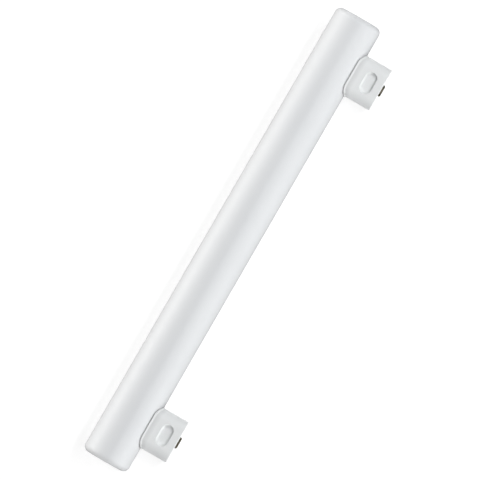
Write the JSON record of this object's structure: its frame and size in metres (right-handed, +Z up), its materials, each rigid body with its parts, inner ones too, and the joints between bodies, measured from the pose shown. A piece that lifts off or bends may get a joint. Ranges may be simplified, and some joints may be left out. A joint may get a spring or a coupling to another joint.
{
  "type": "tubular light bulb",
  "caption": "Slim tubular light bulb: a closed opal tube with a moulded peg cap near each end on one side, each cap with latch recesses and an end contact.",
  "frame": {"origin": "on the floor, under the middle of the lamp's overall box as it lies at rest", "axes": "+X along the tube, -Y the side that the pegs point to (drooping 9.7 degrees to the floor), +Z up"},
  "size_m": [0.3, 0.0476, 0.0295],
  "materials": {
    "opal_glass": "satin opal white, not see-through",
    "white_plastic": "moulded white, satin",
    "contact_brass": "stamped, dulled"
  },
  "bodies": {
    "root": {"opal_tube": "opal_glass", "left_peg_cap": "white_plastic", "right_peg_cap": "white_plastic", "left_contact": "contact_brass", "right_contact": "contact_brass"}
  },
  "joints": []
}
